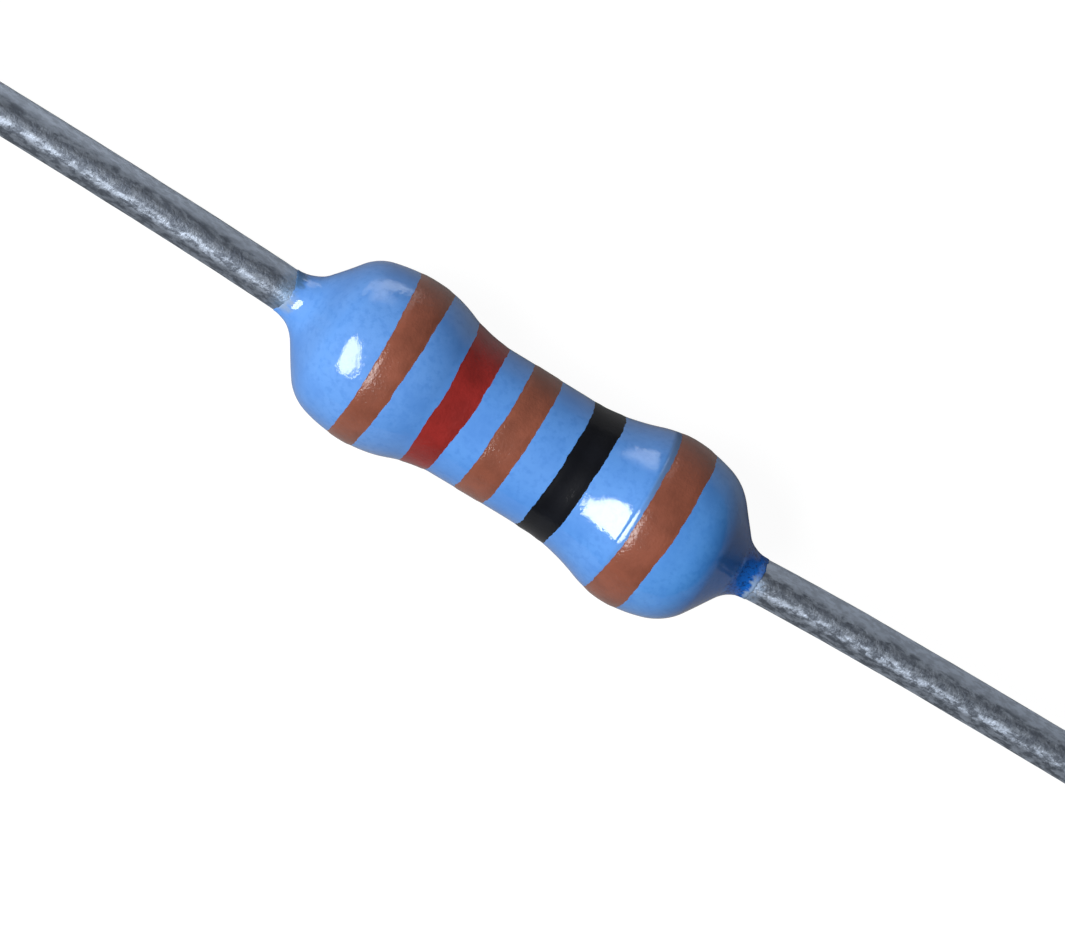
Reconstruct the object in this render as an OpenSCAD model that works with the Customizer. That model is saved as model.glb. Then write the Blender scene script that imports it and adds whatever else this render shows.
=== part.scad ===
// Axial metal film resistor: a ceramic rod with a spiral-cut film, two pressed end caps with
// welded wire leads, a dog-bone lacquer body and five painted colour bands.
// The resistor lies along X with the middle of its body at the origin.
// It is read from the -X end, and the tolerance band is at the +X end.

/* [Core] */
// Diameter of the ceramic rod
rod_d = 1.7; // [1.5:0.05:1.9]
// Length of the ceramic rod
rod_len = 5.2; // [4.8:0.1:6]
// Chamfer around each end of the rod
rod_chamfer = 0.14; // [0.12:0.01:0.2]
// Thickness of the metal film, drawn far thicker than the sputtered one
film_t = 0.03; // [0.02:0.005:0.05]
// Turns of the spiral cut that trims the film to its value
cut_turns = 5; // [2:1:8]
// Width of the spiral cut
cut_w = 0.08; // [0.05:0.01:0.12]
// Uncut film between the spiral's ends and the caps
cut_margin = 0.2; // [0.1:0.05:0.4]

/* [End caps] */
// Wall of the pressed steel cap
cap_wall = 0.15; // [0.1:0.01:0.2]
// Length of the cap from its closed end to its mouth
cap_len = 1.2; // [1:0.05:1.4]
// Outer radius around the cap's closed end
cap_corner_r = 0.25; // [0.2:0.01:0.3]
// Rounding of the cap's rim
cap_rim_r = 0.05; // [0.02:0.01:0.06]

/* [Leads] */
// Diameter of the tinned copper wire
lead_d = 0.6; // [0.45:0.05:0.7]
// Bare length of each lead beyond the lacquer
lead_len = 28; // [3:1:38]
// Radius of the weld's fillet against the cap
weld_r = 0.12; // [0.06:0.01:0.18]
// Swelling of the wire's radius at the foot of its weld
weld_swell = 0.03; // [0.01:0.005:0.05]
// Chamfer left by the cutter at the lead's tip
lead_chamfer = 0.06; // [0.02:0.01:0.12]

/* [Lacquer] */
// Lacquer over the end caps at the body's largest diameter
lacquer_over_caps = 0.165; // [0.12:0.005:0.2]
// Lacquer over the film at the waist
lacquer_over_film = 0.07; // [0.05:0.01:0.1]
// Distance from the cap's closed end back to the largest diameter
crown_inset = 0.73; // [0.65:0.01:0.78]
// Distance from the cap's mouth back to where the waist begins to swell
flare_lead = 0.82; // [0.6:0.01:0.95]
// Profile radius just outside the largest diameter
crown_r = 2; // [1.6:0.1:2.4]
// Slope where the crown turns into the shoulder
crown_angle = 17; // [14:0.5:20]
// Profile radius of the shoulder
shoulder_r = 0.7; // [0.6:0.01:0.8]
// Slope of the body's end against the axis
end_angle = 53; // [50:0.5:56]
// Profile radius of the lacquer drawn out along the lead
meniscus_r = 0.4; // [0.3:0.01:0.5]
// Thickness of the lacquer where it ends on the lead
skirt_t = 0.02; // [0.01:0.005:0.03]

/* [Colour bands] */
// Thickness of the band paint
band_t = 0.025; // [0.015:0.005:0.04]
// Width of each digit band and of the multiplier band
band_w = 0.46; // [0.36:0.01:0.5]
// Width of the tolerance band
tolerance_band_w = 0.54; // [0.4:0.01:0.6]
// Centre of the second digit band
second_band_x = -1.02; // [-1.1:0.01:-0.95]
// Centre of the third digit band
third_band_x = -0.17; // [-0.3:0.01:0]
// Centre of the multiplier band
multiplier_band_x = 0.78; // [0.6:0.01:0.9]

/* [Hidden] */

ROUND_FN = 96;      // steps round a revolved piece
ARC_STEPS = 8;      // steps along an arc of the lacquer's outline
SMALL_ARC_STEPS = 5; // steps along an arc of a cap or a weld
CUT_STEPS = 32;     // facets round the film, and steps round each turn of its spiral gap
FLARE_SHARE = 0.45; // share of the waist's flare that is hollow
LACQUER_BLUE = [0.29, 0.53, 0.87];
BAND_BROWN = [0.48, 0.24, 0.17];
BAND_RED = [0.55, 0.11, 0.1];
BAND_BLACK = [0.06, 0.07, 0.08];

rod_r = rod_d / 2;
film_r = rod_r + film_t;
cap_r = film_r + cap_wall;
cap_end_x = rod_len / 2 + cap_wall;
cap_mouth_x = cap_end_x - cap_len;
lead_r = lead_d / 2;

waist_r = film_r + lacquer_over_film;
body_r = cap_r + lacquer_over_caps;
skirt_r = lead_r + skirt_t;
crown_x = cap_end_x - crown_inset;
flare_x = cap_mouth_x - flare_lead;

// Outlines are lists of [x, radius] points, and a heading is the outline's slope in degrees.
// Point that an arc of radius r reaches from p while its heading turns from h0 to h1
function turned(p, r, h0, h1) =
    p + sign(h1 - h0) * r * [sin(h1) - sin(h0), cos(h0) - cos(h1)];

// Points along that arc, without its start
function arc(p, r, h0, h1, steps) =
    [for (i = [1:steps]) turned(p, r, h0, h0 + (h1 - h0) * i / steps)];

function last(points) = points[len(points) - 1];
function reversed(points) = [for (i = [len(points) - 1:-1:0]) points[i]];
function mirrored(points) = [for (p = points) [-p[0], p[1]]];

// Lacquer outline from the middle of the body to its end on the +X lead
flare_angle = 2 * atan((body_r - waist_r) / (crown_x - flare_x));
flare_r = (crown_x - flare_x) / sin(flare_angle);
hollow = arc([flare_x, waist_r], flare_r * FLARE_SHARE, 0, flare_angle, ARC_STEPS);
swell = arc(last(hollow), flare_r * (1 - FLARE_SHARE), flare_angle, 0, ARC_STEPS);
crown = arc([crown_x, body_r], crown_r, 0, -crown_angle, ARC_STEPS);
shoulder = arc(last(crown), shoulder_r, -crown_angle, -end_angle, ARC_STEPS);
// The drawn-out arc is limited by the height left below the shoulder
drawn_r = min(meniscus_r, (last(shoulder)[1] - skirt_r) / (1 - cos(end_angle)));
drawn_start_r = skirt_r + drawn_r * (1 - cos(end_angle));
drawn_start = [last(shoulder)[0] + (last(shoulder)[1] - drawn_start_r) / tan(end_angle), drawn_start_r];
drawn = arc(drawn_start, drawn_r, -end_angle, 0, ARC_STEPS);
half_outline = concat([[flare_x, waist_r]], hollow, swell, crown, shoulder, [drawn_start], drawn);
lacquer_outline = concat(reversed(mirrored(half_outline)), half_outline);
lacquer_end_x = last(drawn)[0];
lead_tip_x = lacquer_end_x + lead_len;

// Radius of the lacquer at x, on the same straight steps that the body is turned from
function lacquer_r(x) = lookup(x, lacquer_outline);

// Outer outline of a cap, from its mouth over the closed end to the weld
cap_outside = concat(
    [[cap_mouth_x, cap_r - cap_rim_r]],
    arc([cap_mouth_x, cap_r - cap_rim_r], cap_rim_r, 90, 0, SMALL_ARC_STEPS),
    [[cap_end_x - cap_corner_r, cap_r]],
    arc([cap_end_x - cap_corner_r, cap_r], cap_corner_r, 0, -90, SMALL_ARC_STEPS)
);

// Outline of the weld, down its fillet from the cap's face and along the swollen wire
weld_top = [cap_end_x, lead_r + weld_swell + weld_r];
weld_outside = concat(
    [weld_top],
    arc(weld_top, weld_r, -90, 0, SMALL_ARC_STEPS),
    [[lacquer_end_x, lead_r]]
);

// Everything that the lacquer covers, from the middle of the body outwards
covered_half = concat([[cap_mouth_x, film_r]], cap_outside, weld_outside);

// Turns an outline of [x, radius] points about the X axis
module turn_about_x(outline) {
    rotate([0, 90, 0])
        rotate_extrude($fn = ROUND_FN)
            polygon([for (p = outline) [p[1], p[0]]]);
}

// Puts a piece that is drawn for the +X end at the -X end
module at_left_end() {
    mirror([1, 0, 0]) children();
}

module ceramic_rod() {
    half_len = rod_len / 2;
    half = [[half_len - rod_chamfer, rod_r], [half_len, rod_r - rod_chamfer], [half_len, 0]];
    color("ivory")
        turn_about_x(concat(reversed(mirrored(half)), half));
}

// Film sleeve with a spiral gap, in flat facets that touch the rod at their middles
module resistive_film() {
    half_len = rod_len / 2 - rod_chamfer;
    inner_r = rod_r / cos(180 / CUT_STEPS);
    cut_span = 2 * (cap_mouth_x - cut_margin) - cut_w;
    steps = cut_turns * CUT_STEPS;
    ends = steps + 1;
    last_turn = steps - CUT_STEPS;

    // Each station holds its -X pair and its +X pair of points, inner before outer.
    // Stations follow the gap's two edges first, and then go once round the film's two ends.
    stations = concat(
        [for (i = [0:steps]) let (x = cut_span * (i / steps - 0.5)) [i, x - cut_w / 2, x + cut_w / 2]],
        [for (i = [0:CUT_STEPS - 1]) [i, -half_len, half_len]]
    );
    points = [
        for (s = stations, x = [s[1], s[2]], r = [inner_r, film_r])
            let (a = 360 * s[0] / CUT_STEPS) [x, r * cos(a), r * sin(a)]
    ];
    function point_at(station, side, layer) = 4 * station + 2 * side + layer;
    function after(i) = (i + 1) % CUT_STEPS;

    // Patches of the film's surface as [station, side] corners
    patches = concat(
        // Between one turn of the gap and the next
        [for (i = [0:last_turn - 1])
            [[i, 1], [i + CUT_STEPS, 0], [i + CUT_STEPS + 1, 0], [i + 1, 1]]],
        // From the -X end to the gap's first turn
        [for (i = [0:CUT_STEPS - 2]) [[ends + i, 0], [i, 0], [i + 1, 0], [ends + i + 1, 0]]],
        [[[ends + CUT_STEPS - 1, 0], [CUT_STEPS - 1, 0], [CUT_STEPS, 0], [0, 1], [0, 0], [ends, 0]]],
        // From the gap's last turn to the +X end
        [[[last_turn + 1, 1], [last_turn, 1], [steps, 0], [steps, 1], [ends, 1], [ends + 1, 1]]],
        [for (i = [1:CUT_STEPS - 1])
            [[last_turn + i, 1], [ends + i, 1], [ends + after(i), 1], [last_turn + i + 1, 1]]]
    );
    outer_faces = [for (f = patches) [for (c = f) point_at(c[0], c[1], 1)]];
    inner_faces = [for (f = patches) [for (i = [len(f):-1:1]) let (c = f[i % len(f)]) point_at(c[0], c[1], 0)]];

    // Walls through the film's thickness, each from one [station, side] to another
    walls = concat(
        [for (i = [0:steps - 1]) [[i + 1, 0], [i, 0]]],
        [for (i = [0:steps - 1]) [[i, 1], [i + 1, 1]]],
        [[[0, 0], [0, 1]], [[steps, 1], [steps, 0]]],
        [for (i = [0:CUT_STEPS - 1]) [[ends + i, 0], [ends + after(i), 0]]],
        [for (i = [0:CUT_STEPS - 1]) [[ends + after(i), 1], [ends + i, 1]]]
    );
    wall_faces = [
        for (w = walls)
            [
                point_at(w[0][0], w[0][1], 1), point_at(w[1][0], w[1][1], 1),
                point_at(w[1][0], w[1][1], 0), point_at(w[0][0], w[0][1], 0)
            ]
    ];
    color("dimgray")
        polyhedron(points, concat(outer_faces, inner_faces, wall_faces));
}

// Pressed cup whose bore fits the coated rod and whose floor seats on the rod's end
module end_cap() {
    inner_corner_r = max(cap_corner_r - cap_wall, 0);
    floor_x = cap_end_x - cap_wall;
    bore = concat(
        [[cap_mouth_x, film_r], [floor_x - inner_corner_r, film_r]],
        arc([floor_x - inner_corner_r, film_r], inner_corner_r, 0, -90, SMALL_ARC_STEPS),
        [[floor_x, 0]]
    );
    color("silver")
        turn_about_x(concat(cap_outside, [[cap_end_x, 0]], reversed(bore)));
}

// Wire butt-welded to the cap, with its tip as the cutter leaves it
module lead() {
    color("lightslategray")
        turn_about_x(concat(
            [[cap_end_x, 0]],
            weld_outside,
            [
                [lead_tip_x - lead_chamfer, lead_r],
                [lead_tip_x, lead_r - lead_chamfer],
                [lead_tip_x, 0]
            ]
        ));
}

// Lacquer skin, solid from the covered pieces out to its dog-bone outline
module lacquer_body() {
    covered = concat(reversed(mirrored(covered_half)), covered_half);
    color(LACQUER_BLUE)
        turn_about_x(concat(lacquer_outline, reversed(covered)));
}

// Ring of paint that follows the lacquer, with edges that slope down to it
module colour_band(centre_x, width, paint) {
    low_x = centre_x - width / 2;
    high_x = centre_x + width / 2;
    between = [for (p = lacquer_outline) if (p[0] > low_x + band_t && p[0] < high_x - band_t) p[0]];
    top_xs = concat([low_x + band_t], between, [high_x - band_t]);
    seat_xs = [for (p = lacquer_outline) if (p[0] > low_x && p[0] < high_x) p[0]];
    seat = [for (x = concat([low_x], seat_xs, [high_x])) [x, lacquer_r(x)]];
    top = [for (x = top_xs) [x, lacquer_r(x) + band_t]];
    color(paint)
        turn_about_x(concat(seat, reversed(top)));
}

ceramic_rod();
resistive_film();
at_left_end() end_cap();  // left_end_cap
end_cap();  // right_end_cap
at_left_end() lead();  // left_lead
lead();  // right_lead
lacquer_body();
colour_band(-crown_x, band_w, BAND_BROWN);  // first_digit_band
colour_band(second_band_x, band_w, BAND_RED);  // second_digit_band
colour_band(third_band_x, band_w, BAND_BROWN);  // third_digit_band
colour_band(multiplier_band_x, band_w, BAND_BLACK);  // multiplier_band
colour_band(crown_x, tolerance_band_w, BAND_BROWN);  // tolerance_band
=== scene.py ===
"""Dresses an axial metal film resistor: glossy blue lacquer, painted value rings and tinned leads.

All sizes are in metres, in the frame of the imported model: +X runs along the leads towards the
tolerance band, and the part lies on a pale floor with the camera above it.
"""
import math

import bpy
from mathutils import Matrix, Vector


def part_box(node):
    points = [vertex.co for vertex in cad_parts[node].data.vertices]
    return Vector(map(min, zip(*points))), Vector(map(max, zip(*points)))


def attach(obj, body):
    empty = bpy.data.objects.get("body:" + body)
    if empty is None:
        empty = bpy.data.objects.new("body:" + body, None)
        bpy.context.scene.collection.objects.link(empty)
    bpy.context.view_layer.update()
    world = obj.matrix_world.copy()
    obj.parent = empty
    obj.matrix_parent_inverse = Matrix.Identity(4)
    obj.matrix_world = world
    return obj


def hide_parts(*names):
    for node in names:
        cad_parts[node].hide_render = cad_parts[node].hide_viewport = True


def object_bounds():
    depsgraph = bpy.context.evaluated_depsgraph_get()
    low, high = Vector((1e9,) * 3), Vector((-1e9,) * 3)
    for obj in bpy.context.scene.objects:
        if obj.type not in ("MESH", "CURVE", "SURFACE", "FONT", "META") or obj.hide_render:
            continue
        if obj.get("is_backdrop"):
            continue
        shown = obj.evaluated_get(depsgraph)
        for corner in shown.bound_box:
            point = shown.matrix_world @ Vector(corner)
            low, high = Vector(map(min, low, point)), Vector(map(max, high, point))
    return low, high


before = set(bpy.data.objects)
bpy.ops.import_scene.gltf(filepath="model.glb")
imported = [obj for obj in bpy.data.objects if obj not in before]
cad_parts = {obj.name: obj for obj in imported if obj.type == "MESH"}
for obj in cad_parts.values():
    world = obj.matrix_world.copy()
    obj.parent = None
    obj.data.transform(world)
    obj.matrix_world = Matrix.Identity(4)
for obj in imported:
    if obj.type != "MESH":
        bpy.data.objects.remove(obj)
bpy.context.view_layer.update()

bl_info = {
    "name": "Axial resistor",
    "version": (1, 0, 0),
    "blender": (4, 5, 0),
    "location": "View3D > Sidebar > Resistor",
    "description": "Builds the lacquer, value rings, leads and stage of an axial resistor",
    "category": "Object",
}

MM = 0.001
FULL_TURN = 2 * math.pi


def extent(node):
    """Half length along X and largest radius of a CAD node, about the resistor's axis."""
    low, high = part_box(node)
    return max(high.x, -low.x), high.z


BODY_END, BODY_R = extent("lacquer_body")
FILM_R = extent("resistive_film")[1]
CAP_END, CAP_R = extent("right_end_cap")
CAP_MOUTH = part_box("right_end_cap")[0].x
CAP_CORNER_R = 0.25 * MM
LEAD_TIP, WELD_R = extent("right_lead")
WELD_FILLET_R = 0.12 * MM
LEAD_R = 0.3 * MM

# Each wire leans towards +Y, by less and less further out. It starts to do so at BEND_START +
# BEND_SHIFT on the right and at BEND_START - BEND_SHIFT on the left
BEND_START, BEND_SHIFT = 3.0 * MM, 0.3 * MM
BEND_RUN, BEND = 2.05 * MM, 0.14 * MM

# Outwards on either side, the lacquer is held by the wire from HOLD_START on, and its end wanders
# along the wire from WANDER_START on. Each comes in over its run
HOLD_START, HOLD_RUN = 2.9 * MM, 0.5 * MM
WANDER_START, WANDER_RUN = 3.25 * MM, 0.3 * MM
# Span of x over which the left end's lean comes in
LEAN_SPAN = (-2.9 * MM, -3.3 * MM)
CREASE_HALF_W = 0.02 * MM

# Spans of x over which the lacquer's finish changes, painted sheen and painted shade among them.
# Those of its ends are measured outwards
SHEEN_SPAN = (-1.8 * MM, -0.8 * MM)
DEEP_SPAN = (1.8 * MM, 2.4 * MM)
NECK_SHADE_SPAN = (2.68 * MM, 3.12 * MM)
DIM_NECK_SPAN = (2.4 * MM, 3.0 * MM)
SHADE_STRIP_START_SPAN, SHADE_STRIP_END_SPAN = (1.66 * MM, 1.72 * MM), (1.92 * MM, 1.88 * MM)
THIN_SPAN = (3.24 * MM, 3.34 * MM)
LEFT_EDGE_SPAN, RIGHT_EDGE_SPAN = (3.38 * MM, 3.52 * MM), (3.49 * MM, 3.57 * MM)
SOFT_SPAN = (-2.0 * MM, -1.5 * MM)
PEEL_SPAN = (-2.2 * MM, -1.8 * MM)
CALM_SPAN = (2.9 * MM, 3.3 * MM)
MATT_END_SPAN = (3.46 * MM, 3.52 * MM)

# The same for the traces of lacquer on the tin, left and right
TINT_SPAN, TRACE_SPAN = (-3.8 * MM, -3.55 * MM), (3.8 * MM, 3.6 * MM)

# Painted light and shade on the tin round the wire, from its near side (-1) over the top (0) to its
# far side (1): a painted highlight on the near side below the top, painted shade along the top,
# lighter again towards the far side. The outer two come first, since a new colour ramp has two
# stops already
WIRE_PAINTED_LIGHT = (
    (-1.0, 0.74), (1.0, 1.0),
    (-0.7, 0.5), (-0.5, 0.95), (-0.35, 0.93), (-0.17, 0.4),
    (0.17, 0.3), (0.36, 0.6), (0.52, 0.82), (0.7, 0.72),
)

# Each ring: slot, how far it was painted off its nominal place (mm), and the slant in degrees of
# its edges towards -X and +X
BANDS = {
    "first_digit_band": ("brown_paint", 0.03, (-0.5, 3.0)),
    "second_digit_band": ("red_paint", 0.016, (-0.5, 2.9)),
    "third_digit_band": ("brown_paint", 0.005, (1.9, 1.7)),
    "multiplier_band": ("black_paint", -0.003, (1.6, 2.2)),
    "tolerance_band": ("brown_paint", -0.018, (1.3, 2.3)),
}

# Brightness of the paper to the camera and of the floor in a reflection, and the window's right
# and left edge as seen on the floor and on the wall, in radians left of +Y
PAPER_GLOW, FLOOR_GLOW = 0.955, 0.06
FLOOR_PANE, WALL_PANE = (0.2, 0.95), (0.23, 0.72)


# Settings that a user would change

def length(name, description, default):
    """A size in metres, shown in the scene's unit."""
    return bpy.props.FloatProperty(
        name=name, description=description, default=default, subtype="DISTANCE", unit="LENGTH",
        precision=5
    )


def paint(name, description, default):
    """A linear colour."""
    return bpy.props.FloatVectorProperty(
        name=name, description=description, default=default, subtype="COLOR", size=3, min=0, max=1
    )


def slope(name, description, degrees):
    """A slope or tilt, given in degrees."""
    return bpy.props.FloatProperty(
        name=name, description=description, default=math.radians(degrees), subtype="ANGLE",
        unit="ROTATION"
    )


def end_lengths(name, description, left, right):
    """A size in metres for each end of the lacquer."""
    return bpy.props.FloatVectorProperty(
        name=name, description=f"{description}, left and right", size=2, default=(left, right),
        precision=5, subtype="XYZ", unit="LENGTH"
    )


def end_angles(name, description, left, right):
    """An angle for each end of the lacquer, given in degrees."""
    return bpy.props.FloatVectorProperty(
        name=name, description=f"{description}, left and right", size=2,
        default=(math.radians(left), math.radians(right)), precision=5, subtype="EULER",
        unit="ROTATION"
    )


class LacquerSettings(bpy.types.PropertyGroup):
    waist_r: length("Waist radius", "Radius of the thin middle", 0.954 * MM)
    crown_x: end_lengths(
        "Crown", "Distance of the largest diameter from the middle", 1.98 * MM, 2.01 * MM)
    toe_run: end_lengths(
        "Toe run", "Length of the first bend out of the waist", 0.06 * MM, 0.06 * MM)
    toe_angle: end_angles("Toe slope", "Slope at the end of that bend", 4, 6)
    swell_run: end_lengths(
        "Swell run", "Length of the last bend up to the crown", 0.65 * MM, 0.5 * MM)
    flare_angle: end_angles("Flare slope", "Steepest slope between waist and crown", 22.8, 19.3)
    crown_r: end_lengths(
        "Crown bend", "Profile radius outside the largest diameter", 2.15 * MM, 2.0 * MM)
    shoulder_r: end_lengths(
        "Shoulder bend", "Profile radius of the shoulder", 0.66 * MM, 0.82 * MM)
    drawn_r: end_lengths(
        "Drawn bend", "Profile radius of the lacquer drawn out on the lead", 0.5 * MM, 0.42 * MM)
    skirt_run: end_lengths(
        "Skirt run", "How far the lacquer runs on along the lead", 0.0, 0.02 * MM)
    skirt_t: end_lengths(
        "Skirt", "Thickness of the lacquer where it ends on the lead", 0.008 * MM, 0.008 * MM)
    end_wander: length(
        "End wander", "How far the lacquer's end runs up and down the lead", 0.025 * MM)
    end_lean: length("End lean", "How much nearer the body its left end lies on top", 0.09 * MM)
    crown_angle: slope("Crown slope", "Slope where the crown meets the shoulder", 16)
    end_angle: slope("End slope", "Steepest slope of the body's end", 53.5)
    lift: length("Crown lift", "How far the crowns stand out past the packed body", 0.01 * MM)
    sag: length("Sag", "How far the lacquer hangs off the leads' axis", 0.047 * MM)
    sag_tilt: slope("Sag tilt", "How much further it hangs towards the right end", 0.2)
    ripple: length("Ripple", "Height of the slow waves in the skin", 0.012 * MM)
    crease_x: length(
        "Crease", "Where a fine crease runs round beside the tolerance band", 1.672 * MM)
    crease_depth: length("Crease depth", "Depth of the crease", 0.005 * MM)
    crease_slant: slope("Crease slant", "Tilt of the crease about the vertical", 1.3)
    colour: paint("Lacquer", "Colour of the lacquer", (0.088, 0.325, 0.85))
    # A paler blue that paints the sheen on the lit left end
    left_sheen_colour: paint("Left lacquer sheen", "Its paler colour at the left end", (0.108, 0.338, 0.85))
    deep_colour: paint("Deep lacquer", "Its colour beyond the tolerance band", (0.08, 0.335, 0.86))
    # A darker blue that paints the shade on the right neck
    neck_shade_colour: paint("Neck shade", "Its colour at the right neck", (0.03, 0.22, 0.75))
    thin_colour: paint("Thin lacquer", "Colour where it runs out on the wire", (0.004, 0.11, 0.48))
    bare_colour: paint(
        "Lacquer's edge", "Colour of its thinnest edge on the wire", (0.28, 0.39, 0.55))
    # The thin film's blue at the left end, painted darker on the far side as painted shade
    film_shade_colour: paint(
        "Thin film and shade", "Colour of the thin film beside the left lead, painted darker as shade", (0.045, 0.16, 0.36))
    # A darker blue that paints shade in the strip beside the tolerance band
    strip_shade_colour: paint(
        "Strip shade", "Colour of the painted shade beside the tolerance band", (0.065, 0.155, 0.34))


class BandSettings(bpy.types.PropertyGroup):
    paint_t: length("Paint", "Thickness of the band paint", 0.007 * MM)
    edge_wobble: length("Edge wobble", "How far a band's edges wander", 0.022 * MM)
    inset: length("Inset", "How far the paint stays inside its ring's nominal edges", 0.01 * MM)
    bevel: bpy.props.FloatProperty(
        name="Edge share", description="Share of the width over which the paint thins at each edge",
        default=0.2, min=0.01, max=0.5, subtype="FACTOR")
    brown: paint("Brown", "Brown paint", (0.31, 0.095, 0.056))
    red: paint("Red", "Red paint", (0.335, 0.025, 0.021))
    black: paint("Black", "Black paint", (0.0048, 0.0055, 0.008))


class LeadSettings(bpy.types.PropertyGroup):
    radius: length("Radius", "Radius of the tinned wire", LEAD_R)
    chamfer: length("Chamfer", "Chamfer at the cut tip", 0.06 * MM)
    unevenness: length("Unevenness", "Height of the draw marks and lumps in the tin", 0.004 * MM)
    tin: paint("Tin", "Bright tin", (0.68, 0.77, 0.91))
    trace: paint("Trace", "Trace of lacquer on the wire at the right end", (0.5, 0.66, 0.9))
    tint: paint("Tint", "Trace of lacquer on the wire at the left end", (0.3, 0.47, 0.7))
    dull_tin: paint("Dull tin", "Oxidised tin in the pits", (0.115, 0.135, 0.17))


class StageSettings(bpy.types.PropertyGroup):
    key_power: bpy.props.FloatProperty(
        name="Key", description="Power of the main soft light", default=0.318, unit="POWER")
    room: bpy.props.FloatProperty(
        name="Room", description="Brightness of the room round the object", default=0.052, min=0)
    far_wall: bpy.props.FloatProperty(
        name="Far wall", description="Brightness of the wall behind the object", default=0.12,
        min=0)
    window: bpy.props.FloatProperty(
        name="Window", description="Brightness of the window in that wall", default=1.75, min=0)
    lens: bpy.props.FloatProperty(
        name="Lens", description="Focal length", default=200, subtype="DISTANCE_CAMERA")
    floor_size: length("Floor", "Side of the floor", 4.0)


# Outlines, as [x, radius] points

def turned(point, radius, start, end, steps=24):
    """Points along an arc from point, while its heading turns from start to end."""
    side = 1 if end > start else -1
    return [
        (
            point[0] + side * radius * (math.sin(h) - math.sin(start)),
            point[1] + side * radius * (math.cos(start) - math.cos(h)),
        )
        for h in (start + (end - start) * i / steps for i in range(1, steps + 1))
    ]


def lacquer_outline(s, end):
    """Half outline of the lacquer, from the waist to the left (end 0) or right (end 1) lead."""
    skirt_t = s.skirt_t[end]
    skirt_r = LEAD_R + skirt_t
    toe, flare, drawn_r = s.toe_angle[end], s.flare_angle[end], s.drawn_r[end]
    toe_run, swell_run = s.toe_run[end], s.swell_run[end]
    # A long hollow between the toe and the swell climbs what the two leave of the rise
    climbed = toe_run * math.tan(toe / 2) + swell_run * math.tan(flare / 2)
    rise = BODY_R + s.lift - s.waist_r - climbed
    hollow_run = rise / math.tan((toe + flare) / 2)
    points = [(s.crown_x[end] - swell_run - hollow_run - toe_run, s.waist_r)]
    points += turned(points[-1], toe_run / math.sin(toe), 0, toe, 8)
    points += turned(points[-1], hollow_run / (math.sin(flare) - math.sin(toe)), toe, flare)
    points += turned(points[-1], swell_run / math.sin(flare), flare, 0, 48)
    points += turned(points[-1], s.crown_r[end], 0, -s.crown_angle)
    points += turned(points[-1], s.shoulder_r[end], -s.crown_angle, -s.end_angle)
    x, r = points[-1]
    drawn_start_r = skirt_r + drawn_r * (1 - math.cos(s.end_angle))
    drawn_start_x = x + (r - drawn_start_r) / math.tan(s.end_angle)
    steps = 12
    points += [
        (x + (drawn_start_x - x) * i / steps, r + (drawn_start_r - r) * i / steps)
        for i in range(1, steps + 1)
    ]
    points += turned(points[-1], drawn_r, -s.end_angle, 0)
    # The edge rounds down to the wire
    x, r = points[-1][0] + s.skirt_run[end], points[-1][1]
    points += [(x + skirt_t, r - skirt_t * 0.3), (x + 1.5 * skirt_t, r - skirt_t)]
    return points


def mirrored(points):
    """The same half outline for the -X end, in the order of rising x."""
    return [(-x, r) for x, r in reversed(points)]


def weld_outline():
    """The flank of a weld, from the face of its cap to the wire."""
    top = (CAP_END, WELD_R)
    return [top] + turned(top, WELD_FILLET_R, -math.pi / 2, 0, 6)


def share_past(x, start, run):
    """How far x lies past start on either side: 0 up to start, 1 from start + run on."""
    return min(max((abs(x) - start) / run, 0), 1)


# Geometry Nodes

def loop_mesh(name, points, **attributes):
    """A loop of [x, radius] vertices that a tree turns about X, with named float attributes."""
    mesh = bpy.data.meshes.new(name)
    count = len(points)
    edges = [(i, (i + 1) % count) for i in range(count)]
    mesh.from_pydata([(x, r, 0) for x, r in points], edges, [])
    for key, values in attributes.items():
        mesh.attributes.new(key, "FLOAT", "POINT").data.foreach_set("value", values)
    return mesh


class Tree:
    """Short calls for building a node tree."""

    def __init__(self, tree):
        self.tree = tree

    def node(self, kind, inputs=None, **settings):
        node = self.tree.nodes.new(kind)
        for key, value in settings.items():
            setattr(node, key, value)
        for key, value in (inputs or {}).items():
            self.join(value, node.inputs[key])
        return node

    def join(self, value, socket):
        if isinstance(value, bpy.types.NodeSocket):
            self.tree.links.new(value, socket)
        elif value is not None:
            socket.default_value = value

    def math(self, operation, a, b=None, c=None):
        node = self.node("ShaderNodeMath", operation=operation)
        for value, socket in zip((a, b, c), node.inputs):
            self.join(value, socket)
        return node.outputs[0]

    def plus(self, value, *others):
        for other in others:
            value = self.math("ADD", value, other)
        return value

    def minus(self, a, b):
        return self.math("SUBTRACT", a, b)

    def times(self, value, *others):
        for other in others:
            value = self.math("MULTIPLY", value, other)
        return value

    def vector(self, operation, a, b=None):
        node = self.node("ShaderNodeVectorMath", operation=operation)
        self.join(a, node.inputs[0])
        self.join(b, node.inputs[1])
        return node.outputs["Value" if operation in ("LENGTH", "DOT_PRODUCT") else "Vector"]

    def xyz(self, x=0.0, y=0.0, z=0.0):
        return self.node("ShaderNodeCombineXYZ", {0: x, 1: y, 2: z}).outputs[0]

    def split(self, vector):
        return self.node("ShaderNodeSeparateXYZ", {0: vector}).outputs


SOCKET_KINDS = {int: "NodeSocketInt", float: "NodeSocketFloat"}


def geometry_tree(name, inputs):
    """A Geometry Nodes tree with named inputs, each given as a default number or a socket type.

    Returns (Tree, group input).
    """
    group = bpy.data.node_groups.new(name, "GeometryNodeTree")
    for way in ("INPUT", "OUTPUT"):
        group.interface.new_socket("Geometry", in_out=way, socket_type="NodeSocketGeometry")
    for key, value in inputs.items():
        kind = SOCKET_KINDS.get(type(value), value)
        socket = group.interface.new_socket(key, in_out="INPUT", socket_type=kind)
        if kind is not value:
            socket.default_value = value
    tree = Tree(group)
    return tree, tree.node("NodeGroupInput").outputs


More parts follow.
